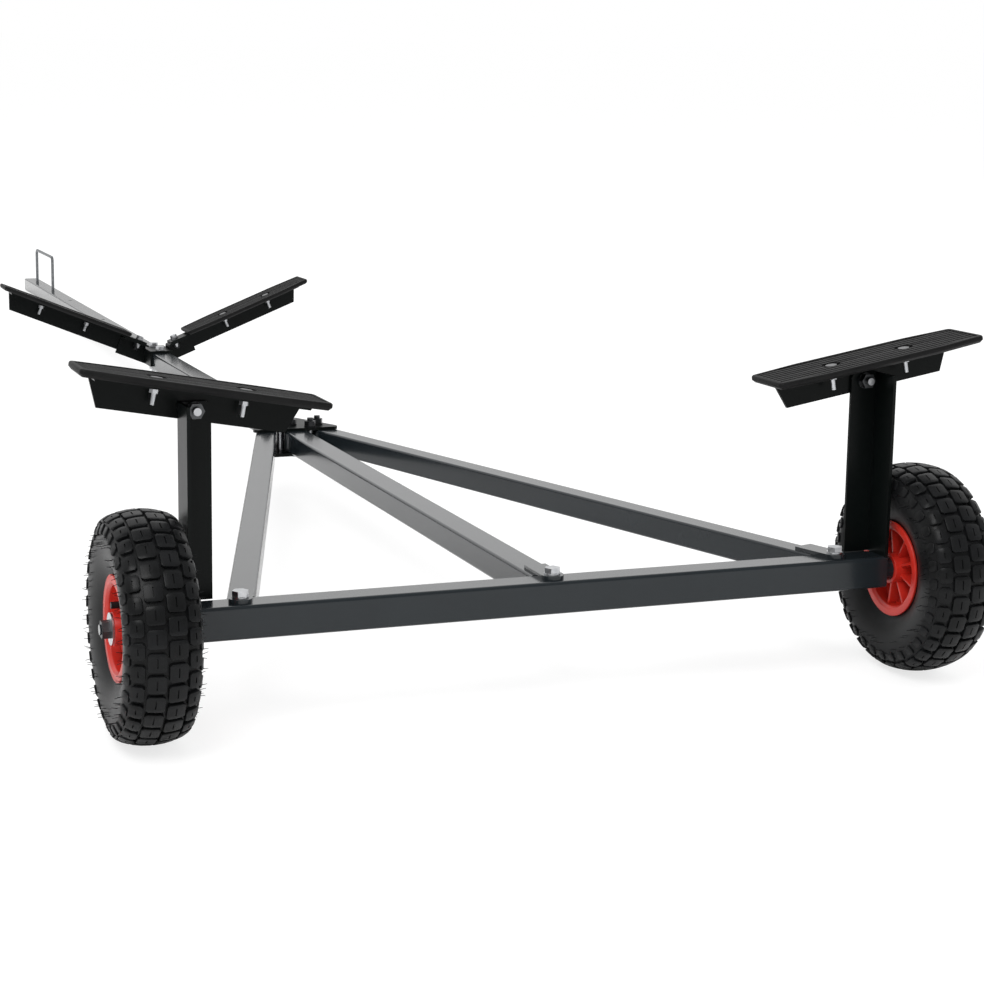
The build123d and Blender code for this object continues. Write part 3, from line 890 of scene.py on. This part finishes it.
    def build(self) -> bmesh.types.BMesh:
        """Make the carcass with its blocks and hairs, about the X axis.

        Returns:
            The shape, centred on the wheel.
        """
        mesh = spun(self.section(), self.spin_steps)
        for sign in (-1, 1):
            for row in self.rows:
                block = self.block(row)
                for k in range(self.pitches):
                    turn = 2 * pi * (k + sign * row.stagger) / self.pitches
                    self.wrap(block, sign * row.across, turn, mesh)
                block.free()
        self.hairs(mesh)
        return mesh


@dataclass
class Rim:
    """A moulded rim: a flanged barrel, a dished disc, a hub and radial ribs on its inner side."""

    flange_radius: float = 61.0 * MM
    seat_radius: float = 52.0 * MM
    well_radius: float = 46.0 * MM
    half_width: float = 33.5 * MM
    flange: float = 3.5 * MM
    wall: float = 3.5 * MM
    well_half: float = 10.0 * MM
    slope_end: float = 16.0 * MM
    hub_radius: float = 19.0 * MM
    bore_radius: float = 10.05 * MM
    hub_half: float = 35.0 * MM
    disc_start: float = 14.0 * MM
    disc_wall: float = 5.0 * MM
    disc_sunk: float = 1.0 * MM
    ribs: int = 9
    rib_wall: float = 3.5 * MM
    rib_setback: float = 7.0 * MM
    rib_in_hub: float = 1.5 * MM
    rib_in_disc: float = 1.0 * MM
    rib_in_barrel: float = 0.5 * MM
    rib_rounding: float = 0.6 * MM
    rounding: float = 0.9 * MM
    rounded_from: float = 25.0
    steps: int = 96

    def ring(self, section: list[Pair]) -> bmesh.types.BMesh:
        """Spin a closed section about the axle and round its corners.

        Args:
            section: its corners in order, as X and radius.

        Returns:
            The ring.
        """
        mesh = spun(section, self.steps)
        sharp = [e for e in mesh.edges if e.calc_face_angle(0.0) > radians(self.rounded_from)]
        bevelled(mesh, sharp, self.rounding, 3)
        return mesh

    def barrel(self) -> bmesh.types.BMesh:
        """Make the barrel: two flanges, two bead seats and the well between them.

        Returns:
            The barrel.
        """
        end, lip, slope, well = self.half_width, self.half_width - self.flange, self.slope_end, self.well_half
        inner, floor = self.seat_radius - self.wall, self.well_radius - self.wall
        return self.ring([(-end, self.flange_radius), (-lip, self.flange_radius), (-lip, self.seat_radius),
                          (-slope, self.seat_radius), (-well, self.well_radius), (well, self.well_radius),
                          (slope, self.seat_radius), (lip, self.seat_radius), (lip, self.flange_radius),
                          (end, self.flange_radius), (end, self.seat_radius), (end - self.wall, inner),
                          (slope, inner), (well, floor), (-well, floor), (-slope, inner),
                          (self.wall - end, inner), (-end, self.seat_radius)])

    def disc(self) -> bmesh.types.BMesh:
        """Make the disc that joins the barrel's well to the hub.

        Returns:
            The disc.
        """
        near, far = self.disc_start, self.disc_start + self.disc_wall
        top, foot = self.well_radius - self.wall / 2, self.hub_radius - self.disc_sunk
        return self.ring([(near, top), (near, foot), (far, foot), (far, top)])

    def hub(self) -> bmesh.types.BMesh:
        """Make the hub's tube.

        Returns:
            The tube.
        """
        return self.ring([(-self.hub_half, self.bore_radius), (-self.hub_half, self.hub_radius),
                          (self.hub_half, self.hub_radius), (self.hub_half, self.bore_radius)])

    def rib(self) -> bmesh.types.BMesh:
        """Make one rib, from the hub to the barrel, higher at its inner end.

        Returns:
            The rib, along +Y.
        """
        start, end = self.rib_setback - self.half_width, self.disc_start + self.rib_in_disc
        low, high = self.hub_radius - self.rib_in_hub, self.well_radius - self.wall + self.rib_in_barrel
        mesh = box((end - start, high - low, self.rib_wall), ((end + start) / 2, (high + low) / 2, 0))
        for vertex in mesh.verts:
            if vertex.co.x < 0 and vertex.co.y > (high + low) / 2:
                vertex.co.y = self.seat_radius - self.wall + self.rib_in_barrel
        bevelled(mesh, mesh.edges[:], self.rib_rounding, 2)
        return mesh

    def build(self) -> bmesh.types.BMesh:
        """Make the rim about the X axis, its outer side towards +X.

        Returns:
            The rim.
        """
        mesh = self.barrel()
        take_in(mesh, self.disc())
        take_in(mesh, self.hub())
        rib = self.rib()
        for k in range(self.ribs):
            join_into(mesh, rib, Matrix.Rotation(2 * pi * k / self.ribs, 4, "X"))
        rib.free()
        return mesh


@dataclass
class Wheel:
    """A wheel's tyre and rim, which turn together on the stub axle."""

    side: Side
    finishes: Finishes
    chassis: Chassis
    place: float = 498.0 * MM

    def build(self) -> None:
        """Make the wheel's tyre and rim."""
        word = self.side.word
        sign = self.side.value
        matrix = self.chassis.at(sign * self.place, 0, 0) @ Matrix.Diagonal((sign, 1, 1, 1))
        tyre = finished(f"tyre_tread_{word}", Tyre().build(), matrix, self.finishes.tyre)
        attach(tyre, f"wheel_{word}")
        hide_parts(f"tyre_{word}")
        rim = finished(f"rim_moulding_{word}", Rim().build(), matrix, self.finishes.rim)
        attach(rim, f"wheel_{word}")
        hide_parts(f"rim_{word}")


@dataclass
class PadShape:
    """A ribbed bunk pad: eight-sided, with a raised rim, grooves along it and two bolt recesses."""

    length: float = 290.0 * MM
    width: float = 90.0 * MM
    end: float = 77.0 * MM
    taper: float = 65.0 * MM
    height: float = 9.0 * MM
    corner: float = 6.0 * MM
    top_rounding: float = 2.6 * MM
    under_chamfer: float = 3.5 * MM
    rim: float = 5.5 * MM
    field_drop: float = 0.8 * MM
    grooves: int = 9
    groove_width: float = 3.4 * MM
    groove_depth: float = 2.2 * MM
    groove_corner: float = 1.2 * MM
    bolt_spacing: float = 104.0 * MM
    recess_length: float = 24.0 * MM
    recess_width: float = 16.0 * MM
    recess_depth: float = 4.0 * MM
    recess_roundness: float = 0.98
    bolt_hole: float = 3.4 * MM
    hole_sides: int = 24
    overshoot: float = 2.0 * MM
    edge_softness: float = 0.45 * MM
    softened_from: float = 40.0
    shaded_sharp_from: float = 32.0

    def octagon(self, inset: float) -> list[Pair]:
        """Return the pad's outline.

        Args:
            inset: how far the outline is drawn in from the pad's edge.

        Returns:
            The eight corners.
        """
        half, flank = self.length / 2 - inset, self.length / 2 - self.taper
        wide, narrow = self.width / 2 - inset, self.end / 2 - inset
        return [(-half, -narrow), (-flank, -wide), (flank, -wide), (half, -narrow),
                (half, narrow), (flank, wide), (-flank, wide), (-half, narrow)]

    def body(self) -> bmesh.types.BMesh:
        """Make the uncut pad, rounded above and chamfered below.

        Returns:
            The body, with its underside at zero.
        """
        mesh = prism(self.octagon(0.0), 0.0, self.height, self.corner)
        for level, offset, segments in ((self.height, self.top_rounding, 4), (0.0, self.under_chamfer, 1)):
            edges = [e for e in mesh.edges if all(abs(v.co.z - level) < MERGE for v in e.verts)]
            bevelled(mesh, edges, offset, segments)
        return mesh

    def groove(self, middle: float, over: float) -> bmesh.types.BMesh:
        """Make the cutter of one groove, which ends at the raised rim.

        Args:
            middle: the groove's place across the pad.
            over: the height of the cutter's top.

        Returns:
            The cutter.
        """
        reach = abs(middle) + self.groove_width / 2
        share = (self.width / 2 - self.rim - reach) / ((self.width - self.end) / 2)
        flank = self.length / 2 - self.taper
        half = min(flank + self.taper * min(max(share, 0.0), 1.0), self.length / 2 - self.rim)
        low, high = middle - self.groove_width / 2, middle + self.groove_width / 2
        return prism([(-half, low), (half, low), (half, high), (-half, high)],
                     self.height - self.groove_depth, over, self.groove_corner)

    def recess(self, x: float, over: float) -> bmesh.types.BMesh:
        """Make the cutter of one bolt's recess and hole.

        Args:
            x: the bolt's place along the pad.
            over: the height of the recess cutter's top.

        Returns:
            The cutter.
        """
        half, wide = self.recess_length / 2, self.recess_width / 2
        mesh = prism([(x - half, -wide), (x + half, -wide), (x + half, wide), (x - half, wide)],
                     self.height - self.recess_depth, over, wide * self.recess_roundness)
        hole = bmesh.new()
        bmesh.ops.create_cone(hole, cap_ends=True, segments=self.hole_sides, radius1=self.bolt_hole,
                              radius2=self.bolt_hole, depth=4 * self.height)
        join_into(mesh, hole, Matrix.Translation((x, 0, 0)))
        hole.free()
        return mesh

    def cutter(self) -> bmesh.types.BMesh:
        """Make the shape that is cut from the pad: its field, grooves, recesses and bolt holes.

        Returns:
            The cutter.
        """
        over = self.height + self.overshoot
        mesh = prism(self.octagon(self.rim), self.height - self.field_drop, over, self.corner - self.rim / 2)
        pitch = (self.width - 2 * self.rim) / self.grooves
        for k in range(self.grooves):
            take_in(mesh, self.groove((k - (self.grooves - 1) / 2) * pitch, over))
        for way in (-1, 1):
            take_in(mesh, self.recess(way * self.bolt_spacing / 2, over))
        return mesh

    def build(self, name: str, matrix: Matrix, material: bpy.types.Material) -> bpy.types.Object:
        """Make a pad.

        Args:
            name: the piece's name.
            matrix: the place of its underside's middle, X along and Z up from the rail.
            material: its finish.

        Returns:
            The pad.
        """
        pad = finished(name, self.body(), Matrix.Identity(4), material)
        knife = finished(f"{name}_knife", self.cutter(), Matrix.Identity(4), material)
        cut = pad.modifiers.new("cut", "BOOLEAN")
        cut.operation = "DIFFERENCE"
        cut.solver = "EXACT"
        cut.use_self = True
        cut.object = knife
        apply_modifiers(pad)
        bpy.data.objects.remove(knife)
        soft = pad.modifiers.new("soft", "BEVEL")
        soft.width = self.edge_softness
        soft.segments = 2
        soft.limit_method = "ANGLE"
        soft.angle_limit = radians(self.softened_from)
        soft.use_clamp_overlap = True
        apply_modifiers(pad)
        pad.data.transform(matrix)
        pad.data.shade_smooth()
        pad.data.set_sharp_from_angle(angle=radians(self.shaded_sharp_from))
        return pad


def dress(nodes: Iterable[str], material: bpy.types.Material) -> None:
    """Give CAD nodes a finish.

    Args:
        nodes: the nodes' names.
        material: the finish.
    """
    for name in nodes:
        data = frame["nodes"][name].data
        data.materials.clear()
        data.materials.append(material)
        log.info("%s: %s", name, material.name)


@dataclass
class Bunk:
    """One bunk: its pad on its rail, at a tilt about the axis along the spine."""

    name: str
    side: Side
    finishes: Finishes
    chassis: Chassis
    x: float
    y: float
    z: float
    tilt: float
    body: str
    rise: float = 25.0 * MM
    pivot_end: float = 4.4 * MM
    # Painted shade: the dark colour of the pad bolt heads in their recesses.
    head_painted_shade: Colour = (0.15, 0.15, 0.155)
    nut_tone: Colour = (0.10, 0.103, 0.107)

    def build(self) -> None:
        """Make the pad, and dress the bolts that hold it and the bolt that it tilts on."""
        word = self.side.word
        sign = self.side.value
        lean = Matrix.Rotation(-sign * radians(self.tilt), 4, "Y")
        place = self.chassis.at(sign * self.x, self.y, self.z) @ lean
        seat = place @ Matrix.Translation((0, 0, self.rise))
        node = f"{self.name}_pad_{word}"
        pad = PadShape().build(f"{self.name}_ribbed_pad_{word}", seat, self.finishes.pad)
        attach(pad, self.body)
        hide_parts(node)
        # Above the pad's underside the bolts are painted dark: painted shade on the heads in the pad's
        # recesses.
        heads = ShadedZinc(f"{node} bolt zinc", "Z", self.rise, dark=self.head_painted_shade)
        dress([f"{self.name}_pad_bolts_{word}"], heads.build(place))
        if self.body != "root":
            pivot = ShadedZinc(f"pivot zinc {word}", "XZ", self.pivot_end, dark=self.nut_tone)
            dress([f"pivot_bolt_{word}"], pivot.build(place))


@dataclass
class Steelwork:
    """The nodes that stay as the part has them, each with its finish."""

    finishes: Finishes

    def build(self) -> None:
        """Dress the frame, rails, fasteners and axles."""
        finish = self.finishes
        dress(["cross_beam", "mid_tube", "drawbar"], finish.grey_coat)
        # On the hub plates the dark coat is painted shade.
        dress(["bow_bracket", "hub_plate_top", "hub_plate_bottom"], finish.black_coat)
        dress(["beam_bolts"], finish.zinc)
        dress(["hub_bolts"], finish.hub_zinc)
        dress(["bow_bracket_bolts"], finish.bow_zinc_painted_shade)
        dress(["tow_hoop"], finish.bare_rod)
        for word in (side.word for side in Side):
            dress([f"axle_{word}", f"brace_{word}"], finish.grey_coat)
            # On the posts the dark coat is painted shade.
            dress([f"post_{word}", f"bunk_rail_{word}", f"bow_rail_{word}"], finish.black_coat)
            dress([f"wheel_washer_{word}"], finish.zinc)
            dress([f"wheel_nut_{word}"], finish.nut_steel)
            dress([f"valve_{word}"], finish.valve)


@dataclass
class Camera:
    """The photograph's viewpoint, worked out in the trailer's level axes."""

    chassis: Chassis
    place: Triple = (-0.96534, -2.2329, 0.6084)
    heading: float = 0.3325
    pitch: float = 0.1722
    roll: float = 0.008
    focal_pixels: float = 2078.7
    image_size: float = 984.0
    centre_u: float = 400.0
    centre_v: float = 440.0
    sensor: float = 36.0
    far_clip: float = 100.0

    def build(self) -> None:
        """Make the camera and set it as the scene's own."""
        h, p, r = self.heading, self.pitch, self.roll
        ahead = Vector((sin(h) * cos(p), cos(h) * cos(p), -sin(p)))
        flat = Vector((cos(h), -sin(h), 0))
        upright = flat.cross(ahead)
        right = flat * cos(r) + upright * sin(r)
        up = upright * cos(r) - flat * sin(r)
        turned = Matrix((right, up, -ahead)).transposed().to_4x4()
        data = bpy.data.cameras.new("view")
        data.sensor_width = self.sensor
        data.lens = self.sensor * self.focal_pixels / self.image_size
        data.shift_x = (self.image_size / 2 - self.centre_u) / self.image_size
        data.shift_y = (self.centre_v - self.image_size / 2) / self.image_size
        data.clip_end = self.far_clip
        camera = bpy.data.objects.new("view", data)
        camera.matrix_world = self.chassis.at(*self.place) @ turned
        bpy.context.scene.collection.objects.link(camera)
        bpy.context.scene.camera = camera


@dataclass(frozen=True)
class Lamp:
    """A soft round lamp: its place, the point it lights, its width and its power."""

    name: str
    place: Triple
    target: Triple
    width: float
    power: float
    in_gloss: bool = False

    def build(self) -> None:
        """Hang the lamp, turned towards its target."""
        data = bpy.data.lights.new(self.name, "AREA")
        data.shape = "DISK"
        data.size = self.width
        data.energy = self.power
        lamp = bpy.data.objects.new(self.name, data)
        lamp.visible_glossy = self.in_gloss
        aim = (Vector(self.target) - Vector(self.place)).to_track_quat("-Z", "Y")
        lamp.matrix_world = Matrix.Translation(self.place) @ aim.to_matrix().to_4x4()
        bpy.context.scene.collection.objects.link(lamp)


@dataclass
class Studio:
    """A plain pale floor, a surround that the camera sees white, and soft lamps."""

    floor_size: float = 120.0
    surround: float = 0.75
    gloss_behind: float = 0.3
    gloss_low: float = 0.55
    gloss_high: float = 1.1
    turn_ahead: Pair = (-0.3, 0.6)
    turn_up: Pair = (0.08, 0.32)
    lamps: tuple[Lamp, ...] = (
        Lamp("key", (-2.5, -4.5, 4.5), (0.0, -1.0, 0.2), width=3.0, power=150.0, in_gloss=True),
        Lamp("fill", (4.5, -2.5, 3.0), (0.0, -0.5, 0.2), width=3.0, power=60.0),
        Lamp("back", (0.5, 5.5, 3.5), (0.0, 0.0, 0.1), width=3.5, power=120.0),
    )

    def floor(self) -> None:
        """Lay the floor."""
        mesh = bmesh.new()
        bmesh.ops.create_grid(mesh, x_segments=1, y_segments=1, size=self.floor_size / 2)
        floor = finished("floor", mesh, Matrix.Identity(4), PaleFloor().build())

    def world(self) -> None:
        """Make the surround: white to the camera, and darker low down and behind in reflections."""
        world = bpy.data.worlds.new("surround")
        bpy.context.scene.world = world
        graph = Graph(world)
        camera_ray = graph.node("ShaderNodeLightPath", output="Is Camera Ray")
        glossy_ray = graph.node("ShaderNodeLightPath", output="Is Glossy Ray")
        way = graph.node("ShaderNodeTexCoord", output="Generated")
        ahead = graph.ramp(graph.node("ShaderNodeSeparateXYZ", {}, {0: way}, "Y"), *self.turn_ahead)
        over = graph.ramp(graph.node("ShaderNodeSeparateXYZ", {}, {0: way}, "Z"), *self.turn_up)
        sky = self.gloss_low + over * (self.gloss_high - self.gloss_low)
        shine = self.gloss_behind + ahead * (sky - self.gloss_behind)
        soft = self.surround + glossy_ray * (shine - self.surround)
        graph.set("Color", (1.0, 1.0, 1.0, 1.0))
        graph.set("Strength", soft + camera_ray * (1.0 - soft))

    def build(self) -> None:
        """Make the floor, the surround and the lamps."""
        self.floor()
        self.world()
        for lamp in self.lamps:
            lamp.build()


def corners(limits: Any) -> list[list[float]]:
    """Turn a box's two corners into plain lists of numbers."""
    return [[float(number) for number in corner] for corner in limits]


def main() -> None:
    """Build every sub-assembly in order."""
    logging.basicConfig(level=logging.INFO, format="%(name)s: %(message)s")
    bpy.context.scene.view_settings.view_transform = "Standard"
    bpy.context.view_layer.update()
    chassis = Chassis.from_frame()
    Camera(chassis).build()
    Studio().build()
    finishes = Finishes(chassis)
    Steelwork(finishes).build()
    for side in Side:
        Wheel(side, finishes, chassis).build()
        Bunk("bunk", side, finishes, chassis, x=431 * MM, y=10 * MM, z=239.5 * MM, tilt=10.0,
             body=f"bunk_{side.word}").build()
        Bunk("bow", side, finishes, chassis, x=207.7 * MM, y=2190 * MM, z=86.5 * MM, tilt=22.0,
             body="root").build()


if __name__ == "__main__":
    main()
